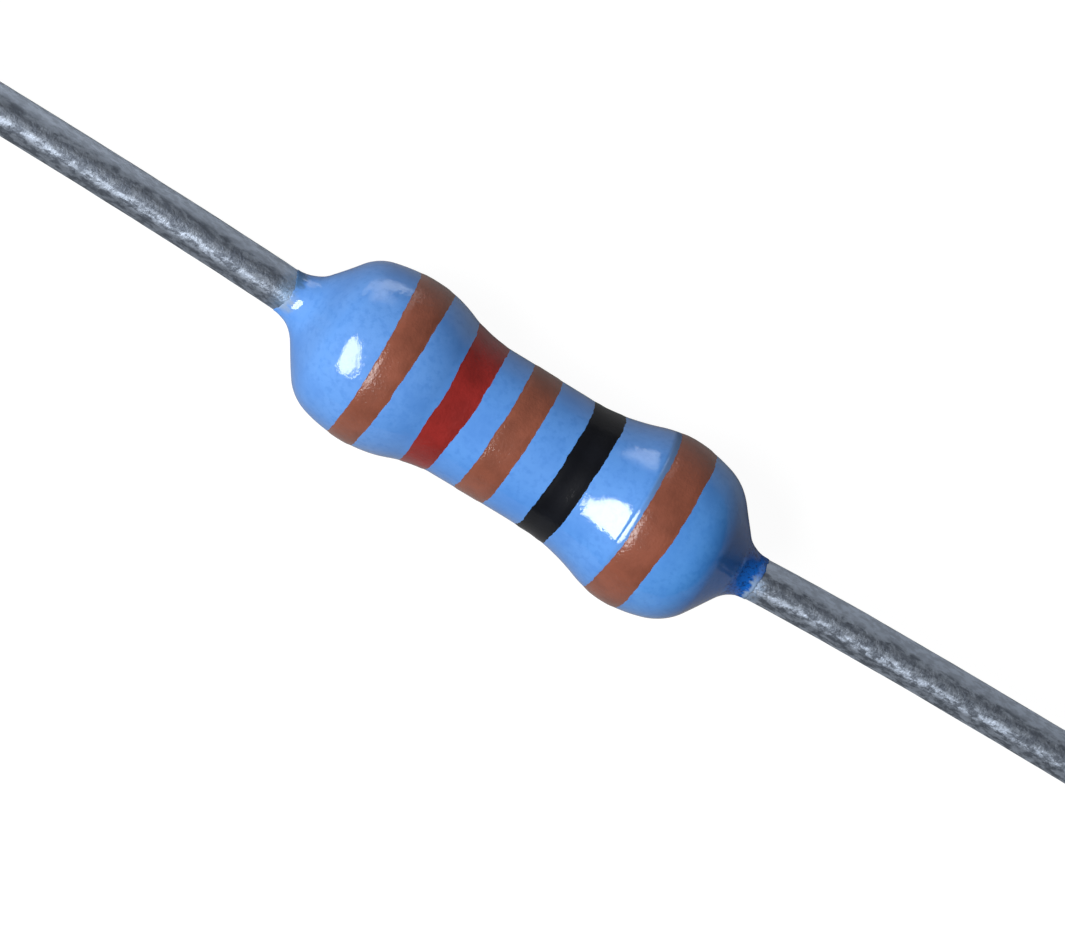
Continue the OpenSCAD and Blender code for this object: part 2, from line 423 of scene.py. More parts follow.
def finish_tree(tree, geometry, finish):
    """Ends a tree in Realize Instances and Set Material."""
    real = tree.node("GeometryNodeRealizeInstances", {"Geometry": geometry}).outputs[0]
    smooth = tree.node("GeometryNodeSetShadeSmooth", {"Geometry": real}).outputs[0]
    done = tree.node("GeometryNodeSetMaterial", {"Geometry": smooth, "Material": finish})
    out = tree.node("NodeGroupOutput")
    tree.tree.links.new(done.outputs[0], out.inputs[0])


def ramp(tree, value, low, high, to_low=0.0, to_high=1.0):
    """Maps low..high smoothly onto to_low..to_high."""
    return tree.node("ShaderNodeMapRange", {
        "Value": value, "From Min": low, "From Max": high, "To Min": to_low, "To Max": to_high,
    }, interpolation_type="SMOOTHSTEP").outputs[0]


def noise(tree, vector, scale, detail=2.0, roughness=0.5):
    """Noise about zero, from -1 to 1."""
    return tree.node(
        "ShaderNodeTexNoise",
        {"Vector": vector, "Scale": scale, "Detail": detail, "Roughness": roughness},
        noise_dimensions="3D", normalize=False,
    ).outputs[0]


def round_grid(tree, along, around):
    """A grid with a row for each outline point and a column for each step round the axis.

    Returns the grid, and the row and the angle of each vertex.
    """
    columns = tree.plus(around, 1)
    grid = tree.node("GeometryNodeMeshGrid", {
        "Size X": 1.0, "Size Y": 1.0, "Vertices X": along, "Vertices Y": columns,
    })
    index = tree.node("GeometryNodeInputIndex").outputs[0]
    row = tree.math("FLOOR", tree.math("DIVIDE", tree.plus(index, 0.5), columns))
    column = tree.minus(index, tree.times(row, columns))
    angle = tree.times(tree.math("DIVIDE", column, around), FULL_TURN)
    return grid.outputs["Mesh"], row, angle


def seam_closed(tree, geometry):
    """Joins the first and last columns, and the first and last rows where they meet."""
    return tree.node(
        "GeometryNodeMergeByDistance", {"Geometry": geometry, "Distance": 1e-8}
    ).outputs[0]


def bent(tree, x):
    """How far a wire's middle lies off the axis at x."""
    start = tree.math("MULTIPLY_ADD", tree.math("SIGN", x), BEND_SHIFT, BEND_START)
    past = tree.math("MAXIMUM", tree.minus(tree.math("ABSOLUTE", x), start), 0.0)
    fade = tree.math("EXPONENT", tree.times(past, -1.0 / BEND_RUN))
    return tree.times(tree.minus(1.0, fade), BEND)


def lathe_tree():
    """Turns the object's own outline about X. The outline's attributes steer the unevenness."""
    tree, given = geometry_tree("Turned skin", {
        "Steps around": 192, "Outline points": 100,
        "Sag": 0.0, "Sag tilt": 0.0,
        "Ripple": 0.0, "Ripple size": 900.0, "Stretch": 1.0, "Seed": 0.0,
        "End wander": 0.0, "End lean": 0.0, "Bend": 0.0,
        "Crease": 0.0, "Crease depth": 0.0, "Crease slant": 0.0,
        "Material": "NodeSocketMaterial",
    })
    # The first outline point is repeated as the last row, which closes the loop
    rows = tree.plus(given["Outline points"], 1)
    grid, row, angle = round_grid(tree, rows, given["Steps around"])
    number = tree.plus(tree.math("MODULO", row, given["Outline points"]), 0.5)

    def at_point(value, kind="FLOAT"):
        """A value of the outline, at the outline point that a vertex belongs to."""
        return tree.node(
            "GeometryNodeSampleIndex",
            {"Geometry": given["Geometry"], "Value": value, "Index": number}, data_type=kind,
        ).outputs[0]

    def attribute(name):
        named = tree.node("GeometryNodeInputNamedAttribute", {"Name": name}, data_type="FLOAT")
        return at_point(named.outputs[0])

    position = tree.node("GeometryNodeInputPosition").outputs[0]
    x, radius, _ = tree.split(at_point(position, "FLOAT_VECTOR"))
    free, edge = attribute("free"), attribute("edge")
    cosine, sine = tree.math("COSINE", angle), tree.math("SINE", angle)
    # The waves are read on the surface, so that they meet at the seam
    surface = tree.xyz(
        tree.plus(tree.math("DIVIDE", x, given["Stretch"]), given["Seed"]),
        tree.times(radius, cosine),
        tree.times(radius, sine),
    )
    waves = tree.times(noise(tree, surface, given["Ripple size"]), given["Ripple"])
    # The sag leans towards -Y, as the lacquer hung while it dried
    hang = tree.math("MULTIPLY_ADD", x, given["Sag tilt"], given["Sag"])
    hang = tree.times(hang, -1.0, cosine)
    # What is not free follows the bent wire, and the wire does so as a whole
    held = tree.math("MAXIMUM", tree.minus(1.0, free), given["Bend"])
    aside = tree.times(bent(tree, x), held)
    # The ends of the skin run up and down the wires, in slow bends with streaks between them
    ring = tree.xyz(cosine, sine, tree.plus(given["Seed"], edge))
    slow = noise(tree, ring, scale=1.1, detail=1.0)
    streaks = noise(tree, ring, scale=5.0, detail=2.0, roughness=0.6)
    wander = tree.plus(slow, tree.times(streaks, 0.5))
    along = tree.times(wander, edge, given["End wander"])
    # On top, the left end lies nearer the body
    top = tree.math("POWER", tree.math("MAXIMUM", sine, 0.0), 2.0)
    back = tree.times(ramp(tree, x, *LEAN_SPAN), given["End lean"])
    along = tree.math("MULTIPLY_ADD", back, top, along)
    # The crease is a shallow ring-shaped valley on the upper side, which fades out at the sides
    middle = tree.plus(given["Crease"], tree.times(radius, cosine, given["Crease slant"]))
    off = tree.math("DIVIDE", tree.minus(x, middle), CREASE_HALF_W)
    valley = tree.math("EXPONENT", tree.times(off, off, -1.0))
    seen = tree.times(ramp(tree, cosine, -0.55, -0.25), ramp(tree, sine, 0.0, 0.5))
    dip = tree.times(valley, seen, given["Crease depth"])
    shift = tree.minus(tree.plus(waves, hang), dip)
    wide = tree.plus(radius, tree.times(shift, free))
    place = tree.xyz(
        tree.plus(x, along),
        tree.plus(tree.times(wide, cosine), aside),
        tree.times(wide, sine),
    )
    shaped = tree.node("GeometryNodeSetPosition", {"Geometry": grid, "Position": place}).outputs[0]
    finish_tree(tree, seam_closed(tree, shaped), given["Material"])
    return tree.tree


def ring_tree():
    """Lays a ring of paint on the lacquer: its edges wander, and it thins towards them."""
    tree, given = geometry_tree("Painted ring", {
        "Steps around": 288, "Steps across": 24,
        "Lacquer": "NodeSocketObject", "Centre": 0.0, "Width": 0.46 * MM, "Paint": 0.02 * MM,
        "Edge share": 0.12, "Edge wobble": 0.01 * MM, "Low slant": 0.0, "High slant": 0.0,
        "Seed": 0.0, "Material": "NodeSocketMaterial",
    })
    # Rows run across the top of the paint and back under it
    across = given["Steps across"]
    rows = tree.plus(tree.times(across, 2), 1)
    grid, row, angle = round_grid(tree, rows, given["Steps around"])
    cosine, sine = tree.math("COSINE", angle), tree.math("SINE", angle)
    # 0 to 1 across the top, then 1 back to 0 underneath, with the rows closer together at the edges
    fold = tree.math("DIVIDE", row, across)
    under = tree.math("GREATER_THAN", fold, 1.0)
    turn = tree.math("COSINE", tree.times(tree.math("PINGPONG", fold, 1.0), math.pi))
    share = tree.math("MULTIPLY_ADD", turn, -0.5, 0.5)

    def edge(sign, number, slant):
        """Where an edge lies, with its slant, a slow wander and a finer tremble round the body."""
        ring = tree.xyz(cosine, sine, tree.plus(given["Seed"], 10.0 * number))
        tremble = tree.times(noise(tree, ring, scale=7.0), 0.35)
        wander = tree.plus(noise(tree, ring, scale=1.6), tremble)
        half = tree.times(given["Width"], 0.5 * sign)
        offset = tree.plus(half, tree.times(wander, given["Edge wobble"]))
        lean = tree.times(cosine, slant, BODY_R)
        return tree.plus(given["Centre"], tree.plus(offset, lean))

    low, high = edge(-1, 1, given["Low slant"]), edge(1, 2, given["High slant"])
    x = tree.plus(low, tree.times(share, tree.minus(high, low)))
    # A ray from outside finds the lacquer
    far = 2 * BODY_R
    target = tree.node(
        "GeometryNodeObjectInfo", {"Object": given["Lacquer"]}, transform_space="RELATIVE")
    hit = tree.node("GeometryNodeRaycast", {
        "Target Geometry": target.outputs["Geometry"],
        "Source Position": tree.xyz(x, tree.times(cosine, far), tree.times(sine, far)),
        "Ray Direction": tree.xyz(0.0, tree.times(cosine, -1.0), tree.times(sine, -1.0)),
        "Ray Length": far,
    })
    _, y, z = tree.split(hit.outputs["Hit Position"])
    seat = tree.vector("LENGTH", tree.xyz(0.0, y, z))
    # The paint's height: full in the middle, thinned to nothing over the edge share
    to_edge = tree.math("MINIMUM", share, tree.minus(1.0, share))
    height = ramp(tree, tree.math("DIVIDE", to_edge, given["Edge share"]), 0.0, 1.0)
    top = tree.times(height, given["Paint"])
    # The paint's underside lies a little inside the lacquer
    sunk = tree.times(top, -0.5)
    lift = tree.node(
        "GeometryNodeSwitch", {"Switch": under, "False": top, "True": sunk}, input_type="FLOAT"
    ).outputs[0]
    radius = tree.plus(seat, lift)
    place = tree.xyz(x, tree.times(radius, cosine), tree.times(radius, sine))
    shaped = tree.node("GeometryNodeSetPosition", {"Geometry": grid, "Position": place}).outputs[0]
    finish_tree(tree, seam_closed(tree, shaped), given["Material"])
    return tree.tree


def grown(name, mesh, group, values):
    """Runs a tree on a mesh and returns the result as a plain object at the origin."""
    obj = bpy.data.objects.new(name, mesh)
    bpy.context.scene.collection.objects.link(obj)
    modifier = obj.modifiers.new("Nodes", "NODES")
    modifier.node_group = group
    sockets = {s.name: s.identifier for s in group.interface.items_tree if s.in_out == "INPUT"}
    for key, value in values.items():
        modifier[sockets[key]] = value
    bpy.context.view_layer.update()
    evaluated = obj.evaluated_get(bpy.context.evaluated_depsgraph_get())
    result = bpy.data.meshes.new_from_object(evaluated)
    result.name = name
    obj.modifiers.remove(modifier)
    old, obj.data = obj.data, result
    bpy.data.meshes.remove(old)
    if volume(result) < 0:
        result.flip_normals()
    return obj


def volume(mesh):
    """Signed volume, negative where the faces point inwards."""
    mesh.calc_loop_triangles()
    return sum(
        mesh.vertices[a].co.dot(mesh.vertices[b].co.cross(mesh.vertices[c].co)) / 6
        for a, b, c in (t.vertices for t in mesh.loop_triangles)
    )


# Materials

def material(name, base, roughness, metallic=0.0, coat=0.0, coat_roughness=0.03, coat_ior=1.5):
    """A Principled material. Returns (material, Tree, shader, object coordinates)."""
    made = bpy.data.materials.new(name)
    made.use_nodes = True
    shader = made.node_tree.nodes["Principled BSDF"]
    for key, value in (
        ("Base Color", (*base, 1)), ("Roughness", roughness), ("Metallic", metallic),
        ("Coat Weight", coat), ("Coat Roughness", coat_roughness), ("Coat IOR", coat_ior),
    ):
        shader.inputs[key].default_value = value
    tree = Tree(made.node_tree)
    place = tree.node("ShaderNodeTexCoord").outputs["Object"]
    return made, tree, shader, place


def shaded(colour, factor):
    """A colour made darker or lighter."""
    return tuple(c * factor for c in colour)


def mix(tree, share, a, b):
    """Colour mix of a and b."""
    node = tree.node("ShaderNodeMix", data_type="RGBA")
    tree.join(share, node.inputs[0])
    for value, socket in ((a, node.inputs[6]), (b, node.inputs[7])):
        tree.join(value if isinstance(value, bpy.types.NodeSocket) else (*value, 1), socket)
    return node.outputs[2]


def grain(tree, vector, scale, detail=3.0, roughness=0.5):
    """Noise from 0 to 1 for a material, with scale waves to the metre."""
    return tree.node("ShaderNodeTexNoise", {
        "Vector": vector, "Scale": scale, "Detail": detail, "Roughness": roughness,
    }).outputs[0]


def bump(tree, height, distance, strength=1.0, after=None):
    """A normal from a height field, on top of another normal."""
    return tree.node("ShaderNodeBump", {
        "Height": height, "Distance": distance, "Strength": strength, "Normal": after,
    }).outputs[0]


def lacquer_material(s):
    """Opaque blue lacquer: a clear gloss with an orange peel over hazy, finely specked pigment."""
    made, tree, shader, place = material(
        "Blue lacquer", s.colour, roughness=0.75, coat=1.0, coat_roughness=0.05, coat_ior=1.6)
    x, y, _ = tree.split(place)
    out = tree.math("ABSOLUTE", x)
    # Towards the left end, which faces the key light, the lacquer is painted paler: a painted sheen
    base = mix(tree, ramp(tree, x, *SHEEN_SPAN), s.left_sheen_colour, s.colour)
    base = mix(tree, ramp(tree, x, *DEEP_SPAN), base, s.deep_colour)
    # At the right neck, which faces away from the key light, a darker blue is painted: painted
    # shade
    base = mix(tree, ramp(tree, x, *NECK_SHADE_SPAN), base, s.neck_shade_colour)
    # The pigment is hazy and speckled
    deeper = tree.vector("MULTIPLY", base, (0.6, 0.8, 0.9))
    cloud = grain(tree, place, scale=1500.0, detail=4.0, roughness=0.6)
    specks = grain(tree, place, scale=11000.0, detail=3.0, roughness=0.6)
    colour = mix(tree, ramp(tree, cloud, 0.35, 0.75), base, deeper)
    colour = mix(tree, ramp(tree, specks, 0.45, 0.7, to_low=0.0, to_high=0.8), colour, deeper)
    # The strip between the crease and the tolerance band is painted darker as painted shade, most
    # on the far side
    shade_strip = tree.times(
        ramp(tree, x, *SHADE_STRIP_START_SPAN), ramp(tree, x, *SHADE_STRIP_END_SPAN),
        ramp(tree, y, -0.3 * MM, 0.5 * MM, to_low=0.25, to_high=0.95))
    colour = mix(tree, shade_strip, colour, s.strip_shade_colour)
    # Towards the wires the lacquer ends in a ragged line
    streaked = tree.vector("MULTIPLY", place, (0.5, 1.0, 1.0))
    ragged = tree.minus(grain(tree, streaked, scale=11000.0, detail=4.0, roughness=0.65), 0.5)
    ragged = tree.times(ragged, 0.35 * MM)
    right, left = tree.plus(x, ragged), tree.minus(ragged, x)
    # On the right the film runs out thin on the wire, in a deeper blue
    speckle = ramp(tree, grain(tree, place, scale=30000.0, detail=2.0, roughness=0.6), 0.5, 0.65)
    thin = mix(tree, speckle, s.thin_colour, shaded(s.thin_colour, 0.4))
    colour = mix(tree, ramp(tree, right, *THIN_SPAN), colour, thin)
    # and its edge, with the wire under it, is paler; the paleness is painted strongest on the lit
    # side, as painted light
    lit = ramp(tree, y, 0.14 * MM, -0.08 * MM, to_low=0.15, to_high=0.9)
    left_end = ramp(tree, left, *LEFT_EDGE_SPAN)
    left_edge = tree.times(left_end, ramp(tree, y, -0.24 * MM, -0.15 * MM))
    outer = tree.math("MAXIMUM", ramp(tree, right, *RIGHT_EDGE_SPAN), left_edge)
    colour = mix(tree, tree.times(outer, lit), colour, s.bare_colour)
    # On the left the thin film is painted dark on the far side only: its deeper blue with painted
    # shade
    far_side = ramp(tree, tree.plus(y, ragged), -0.02 * MM, 0.14 * MM)
    colour = mix(tree, tree.times(left_end, far_side), colour, s.film_shade_colour)
    tree.join(colour, shader.inputs["Base Color"])
    specular = ramp(tree, x, *DIM_NECK_SPAN, to_low=1.0, to_high=0.1)
    tree.join(specular, shader.inputs["Specular IOR Level"])
    # The gloss is softer on the left, and the shaded strip and the ends are nearly matt
    soft = ramp(tree, x, *SOFT_SPAN, to_low=0.07, to_high=0.05)
    tree.join(soft, shader.inputs["Coat Roughness"])
    gloss = tree.times(
        ramp(tree, x, *SOFT_SPAN, to_low=0.76, to_high=1.0),
        tree.minus(1.0, shade_strip),
        ramp(tree, out, *MATT_END_SPAN, to_low=1.0, to_high=0.15))
    tree.join(gloss, shader.inputs["Coat Weight"])
    # The peel is stronger on the left, and dies away where the lacquer is drawn out on the leads
    calm = tree.times(
        ramp(tree, out, *CALM_SPAN, to_low=1.0, to_high=0.15),
        ramp(tree, x, *PEEL_SPAN, to_low=1.5, to_high=1.0))
    coarse = grain(tree, place, scale=5200.0, detail=2.0, roughness=0.45)
    fine = grain(tree, place, scale=16000.0, detail=3.0, roughness=0.6)
    peel = bump(tree, coarse, distance=0.004 * MM, strength=tree.times(calm, 0.6))
    peel = bump(tree, fine, distance=0.003 * MM, strength=tree.times(calm, 0.65), after=peel)
    tree.join(peel, shader.inputs["Coat Normal"])
    tree.join(peel, shader.inputs["Normal"])
    return made


def paint_material(name, colour, haze, shine):
    """Band paint: a little grainier than the lacquer, and clouded with haze times its colour."""
    made, tree, shader, place = material(
        name, colour, roughness=0.5, coat=shine, coat_roughness=0.075)
    shader.inputs["Specular IOR Level"].default_value = 0.3 * shine * shine
    dark = shaded(colour, haze)
    cloud = grain(tree, place, scale=2200.0, detail=3.0, roughness=0.6)
    specks = grain(tree, place, scale=16000.0, detail=2.0, roughness=0.55)
    mixed = mix(tree, ramp(tree, cloud, 0.3, 0.75), colour, dark)
    mixed = mix(tree, ramp(tree, specks, 0.55, 0.75, to_low=0.0, to_high=0.35), mixed, dark)
    tree.join(mixed, shader.inputs["Base Color"])
    coarse = grain(tree, place, scale=7000.0, detail=2.0, roughness=0.5)
    fine = grain(tree, place, scale=24000.0, detail=3.0, roughness=0.6)
    peel = bump(tree, coarse, distance=0.004 * MM, strength=0.9 * shine)
    peel = bump(tree, fine, distance=0.013 * MM, strength=shine * shine, after=peel)
    tree.join(peel, shader.inputs["Normal"])
    tree.join(peel, shader.inputs["Coat Normal"])
    return made


def tin_material(s):
    """Dull tin, pitted and streaked, with painted light round the wire: fewer pits and lighter on
    the far side, painted shade on top, a painted highlight below.
    """
    made, tree, shader, place = material("Tinned copper", s.tin, roughness=0.58, metallic=0.9)
    x, y, _ = tree.split(place)
    drawn = tree.vector("MULTIPLY", place, (0.06, 1.0, 1.0))
    blotched = tree.vector("MULTIPLY", place, (0.5, 1.0, 1.0))
    lines = grain(tree, drawn, scale=22000.0, detail=3.0, roughness=0.6)
    pits = grain(tree, place, scale=20000.0, detail=3.0, roughness=0.65)
    blotches = grain(tree, blotched, scale=13000.0, detail=4.0, roughness=0.65)
    # The painted streaks of light and shade wander a little round the wire
    wander = tree.times(tree.minus(grain(tree, blotched, scale=6000.0), 0.5), 0.1 * MM)
    side = tree.plus(tree.minus(y, bent(tree, x)), wander)
    across = tree.math("MULTIPLY_ADD", side, 0.5 / LEAD_R, 0.5)
    # This ramp paints light and shade round the wire, after the table above
    light_ramp = tree.node("ShaderNodeValToRGB", {"Fac": across})
    stops = light_ramp.color_ramp.elements
    for number, (where, level) in enumerate(WIRE_PAINTED_LIGHT):
        stop = stops[number] if number < 2 else stops.new(1.0)
        stop.position = 0.5 + 0.5 * where
        stop.color = (level, level, level, 1)
    # The left wire's painted light is painted a little dimmer than the right one's
    bright = tree.times(light_ramp.outputs[0], ramp(tree, x, -MM, MM, to_low=0.8, to_high=1.0))
    colour = mix(tree, bright, (0.0, 0.0, 0.0), s.tin)
    pitted = ramp(tree, side, 0.16 * MM, 0.1 * MM, to_low=0.3, to_high=0.85)
    spots = tree.times(ramp(tree, blotches, 0.4, 0.6, to_low=1.0, to_high=0.0), pitted)
    colour = mix(tree, spots, colour, s.dull_tin)
    # Beyond the lacquer's left end, a trace of it tints the wire
    tint = tree.times(
        ramp(tree, x, *TINT_SPAN, to_low=0.0, to_high=0.55), ramp(tree, x, 0.0, -MM),
        ramp(tree, pits, 0.35, 0.5, to_low=0.4, to_high=1.0))
    colour = mix(tree, tint, colour, s.tint)
    # Beyond its right end, a trace of it pales the wire; it is painted on the lit side only, as
    # painted light
    trace = tree.times(
        ramp(tree, x, *TRACE_SPAN, to_low=0.0, to_high=0.8), ramp(tree, x, 0.0, MM),
        ramp(tree, side, 0.1 * MM, -0.05 * MM), ramp(tree, pits, 0.35, 0.55))
    colour = mix(tree, trace, colour, s.trace)
    tree.join(colour, shader.inputs["Base Color"])
    normal = bump(tree, lines, distance=0.0015 * MM, strength=0.6)
    rough = ramp(tree, side, 0.16 * MM, 0.08 * MM, to_low=0.15, to_high=0.9)
    normal = bump(tree, pits, distance=0.01 * MM, strength=rough, after=normal)
    tree.join(normal, shader.inputs["Normal"])
    return made


def plain_grain_material(name, colour, roughness, metallic, scale):
    """Finish of a hidden piece: an even colour with a fine grain."""
    made, tree, shader, place = material(name, colour, roughness, metallic)
    tone = mix(tree, grain(tree, place, scale), colour, shaded(colour, 0.8))
    tree.join(tone, shader.inputs["Base Color"])
    normal = bump(tree, grain(tree, place, scale * 4), distance=0.002 * MM, strength=0.5)
    tree.join(normal, shader.inputs["Normal"])
    return made


def finish_node(node, made):
    """Gives a CAD node its material."""
    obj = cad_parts[node]
    obj.data.materials.clear()
    obj.data.materials.append(made)


def declare(piece, slot, *nodes):
    """Hangs the finished piece on the root body and hides the nodes that it stands for."""
    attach(piece, "root")
    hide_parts(*nodes)


# Operators

class RESISTOR_OT_core(bpy.types.Operator):
    """Finish the rod, the film and the end caps that the lacquer hides"""

    bl_idname = "resistor.core"
    bl_label = "Core"

    def execute(self, context):
        ceramic = plain_grain_material(
            "Ceramic", (0.78, 0.74, 0.66), roughness=0.7, metallic=0.0, scale=4000.0)
        film = plain_grain_material(
            "Metal film", (0.1, 0.1, 0.105), roughness=0.4, metallic=0.8, scale=6000.0)
        steel = plain_grain_material(
            "Cap steel", (0.55, 0.54, 0.52), roughness=0.35, metallic=1.0, scale=5000.0)
        finish_node("ceramic_rod", ceramic)
        finish_node("resistive_film", film)
        finish_node("left_end_cap", steel)
        finish_node("right_end_cap", steel)
        return {"FINISHED"}


class RESISTOR_OT_lacquer(bpy.types.Operator):
    """Build the lacquer body round the core"""

    bl_idname = "resistor.lacquer"
    bl_label = "Lacquer"

    def execute(self, context):
        s = context.scene.resistor_lacquer
        left, right = lacquer_outline(s, 0), lacquer_outline(s, 1)
        start, end = -left[0][0], right[0][0]
        steps = 32
        waist = [(start + (end - start) * i / steps, s.waist_r) for i in range(1, steps)]
        outer = mirrored(left) + waist + right
        # Underneath, the skin follows the film, the caps and the welds
        covered = [(CAP_MOUTH, FILM_R), (CAP_MOUTH, CAP_R)]
        corner_start = (CAP_END - CAP_CORNER_R, CAP_R)
        covered += [corner_start] + turned(corner_start, CAP_CORNER_R, 0, -math.pi / 2, 6)
        covered += weld_outline()
        inner = mirrored(covered) + covered
        inner = [(-left[-1][0], LEAD_R)] + inner + [(right[-1][0], LEAD_R)]
        outline = outer + inner[::-1]
        # The skin may wander over its body and not where it ends on the wires
        free = [1 - share_past(x, HOLD_START, HOLD_RUN) for x, _ in outer]
        free = [f * f * (3 - 2 * f) for f in free] + [0.0] * len(inner)
        edge = [
            share_past(x, WANDER_START, WANDER_RUN) ** 2 * math.copysign(1, x) for x, _ in outline
        ]
        mesh = loop_mesh("Lacquer outline", outline, free=free, edge=edge)
        body = grown("Lacquer_body", mesh, lathe_tree(), {
            "Steps around": 240, "Outline points": len(outline),
            "Sag": s.sag, "Sag tilt": math.tan(s.sag_tilt),
            "Ripple": s.ripple, "Ripple size": 700.0, "Seed": 0.013,
            "End wander": s.end_wander, "End lean": s.end_lean,
            "Crease": s.crease_x, "Crease depth": s.crease_depth,
            "Crease slant": math.tan(s.crease_slant), "Material": lacquer_material(s),
        })
        declare(body, "blue_lacquer", "lacquer_body")
        return {"FINISHED"}


class RESISTOR_OT_bands(bpy.types.Operator):
    """Paint the value rings on the lacquer"""

    bl_idname = "resistor.bands"
    bl_label = "Value rings"

    def execute(self, context):
        s = context.scene.resistor_bands
        body = bpy.data.objects["Lacquer_body"]
        finishes = {
            "brown_paint": paint_material("Brown paint", s.brown, haze=0.72, shine=0.75),
            "red_paint": paint_material("Red paint", s.red, haze=0.7, shine=0.75),
            "black_paint": paint_material("Black paint", s.black, haze=1.6, shine=0.45),
        }
        tree = ring_tree()
        for number, (node, (slot, off, slants)) in enumerate(BANDS.items()):
            low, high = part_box(node)
            low_slant, high_slant = (math.tan(math.radians(angle)) for angle in slants)
            ring = grown(node.capitalize(), bpy.data.meshes.new(node), tree, {
                "Lacquer": body, "Centre": (low.x + high.x) / 2 + off * MM,
                "Width": high.x - low.x - 2 * s.inset, "Paint": s.paint_t,
                "Edge share": s.bevel, "Edge wobble": s.edge_wobble,
                "Low slant": low_slant, "High slant": high_slant,
                "Seed": 3.1 + number * 1.7, "Material": finishes[slot],
            })
            declare(ring, slot, node)
        return {"FINISHED"}


class RESISTOR_OT_leads(bpy.types.Operator):
    """Build the two tinned wires"""

    bl_idname = "resistor.leads"
    bl_label = "Leads"

    def execute(self, context):
        s = context.scene.resistor_leads
        tin = tin_material(s)
        tree = lathe_tree()
        start = [(CAP_END, 0.0)] + weld_outline()
        tip = LEAD_TIP - s.chamfer
        steps = 420
        wire = [(BODY_END + (tip - BODY_END) * i / steps, s.radius) for i in range(steps + 1)]
        end = [(LEAD_TIP, s.radius - s.chamfer), (LEAD_TIP, 0.0)]
        # Only the wire between its first and last points is uneven
        free = [0.0] * (len(start) + 1) + [1.0] * (steps - 1) + [0.0] * (len(end) + 1)
        for side, node in ((-1, "left_lead"), (1, "right_lead")):
            outline = [(side * x, r) for x, r in start + wire + end]
            mesh = loop_mesh(node, outline, free=free, edge=[0.0] * len(outline))
            lead = grown(node.capitalize(), mesh, tree, {
                "Steps around": 64, "Outline points": len(outline), "Bend": 1.0,
                "Ripple": s.unevenness, "Ripple size": 4200.0, "Stretch": 2.5,
                "Seed": 0.02 + 0.01 * side, "Material": tin,
            })
            declare(lead, "tinned_copper", node)
        return {"FINISHED"}


class RESISTOR_OT_stage(bpy.types.Operator):
    """Set the floor, the lights and the camera"""

    bl_idname = "resistor.stage"
    bl_label = "Stage"

    def execute(self, context):
        s = context.scene.resistor_stage
        floor(s)
        room(s)
        soft_light(
            "Key", s.key_power, direction=(-0.47, -0.36, 0.807), distance=0.16, spread=(22, 46),
            roll=14)
        camera(s)
        context.scene.view_settings.view_transform = "Standard"
        return {"FINISHED"}


def floor(s):
    """A pale floor just under the body, which keeps a faint shadow."""
    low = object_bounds()[0].z
    half = s.floor_size / 2
    mesh = bpy.data.meshes.new("Floor")
    corners = [(-half, -half, low), (half, -half, low), (half, half, low), (-half, half, low)]
    mesh.from_pydata(corners, [], [(0, 1, 2, 3)])
    obj = bpy.data.objects.new("Floor", mesh)
    bpy.context.scene.collection.objects.link(obj)
    made = bpy.data.materials.new("Floor")
    made.use_nodes = True
    tree = Tree(made.node_tree)
    tree.tree.nodes.clear()
    path = tree.node("ShaderNodeLightPath").outputs
    seen = path["Is Camera Ray"]
    reflected = tree.math("MAXIMUM", path["Is Glossy Ray"], path["Is Transmission Ray"])
    # Paper white to the camera with a faint shadow, and pale grey in a reflection, with the
    # window's glow on it from a little way off
    place = tree.node("ShaderNodeTexCoord").outputs["Object"]
    away = ramp(tree, tree.vector("LENGTH", place), 7 * MM, 12 * MM)
    window = tree.times(pane(tree, place, *FLOOR_PANE), away, s.window)
    grey = tree.plus(window, FLOOR_GLOW)
    glow = tree.plus(tree.times(seen, PAPER_GLOW), tree.times(reflected, grey))
    shade = mix(tree, seen, (0.28, 0.28, 0.28), (0.12, 0.12, 0.12))
    paper = tree.node("ShaderNodeBsdfDiffuse", {"Color": shade}).outputs[0]
    light = tree.node("ShaderNodeEmission", {"Color": (1, 1, 1, 1), "Strength": glow}).outputs[0]
    both = tree.node("ShaderNodeAddShader", {0: paper, 1: light}).outputs[0]
    tree.join(both, tree.node("ShaderNodeOutputMaterial").inputs["Surface"])
    mesh.materials.append(made)
    obj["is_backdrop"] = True


def pane(tree, place, right, left):
    """The window's light between two bearings, in radians left of +Y, brightest on its right."""
    x, y, _ = tree.split(place)
    bearing = tree.math("ARCTAN2", tree.times(x, -1.0), y)
    return tree.times(
        ramp(tree, bearing, right, right + 0.1), ramp(tree, bearing, left, left - 0.12),
        ramp(tree, bearing, 0.62, 0.45, to_low=1.0, to_high=1.5))


def room(s):
    """A dim room with a paler wall behind the object, which is white where the camera sees it."""
    world = bpy.data.worlds.new("Room")
    world.use_nodes = True
    tree = Tree(world.node_tree)
    tree.tree.nodes.clear()
    direction = tree.node("ShaderNodeTexCoord").outputs["Object"]
    facing = tree.vector("DOT_PRODUCT", direction, Vector((-0.3, 0.95, 0)))
    level = ramp(tree, facing, 0.3, 1.0, to_low=s.room, to_high=s.far_wall)
    # A low window, as a soft patch in that wall
    low = ramp(tree, tree.split(direction)[2], 0.5, 0.25)
    window = tree.times(pane(tree, direction, *WALL_PANE), low, s.window)
    level = tree.plus(level, window)
    wall = tree.node(
        "ShaderNodeBackground", {"Color": (0.95, 0.97, 1, 1), "Strength": level}).outputs[0]
    white = tree.node(
        "ShaderNodeBackground", {"Color": (1, 1, 1, 1), "Strength": 1.0}).outputs[0]
    seen = tree.node("ShaderNodeLightPath").outputs["Is Camera Ray"]
    both = tree.node("ShaderNodeMixShader", {0: seen, 1: wall, 2: white}).outputs[0]
    tree.join(both, tree.node("ShaderNodeOutputWorld").inputs["Surface"])
    bpy.context.scene.world = world


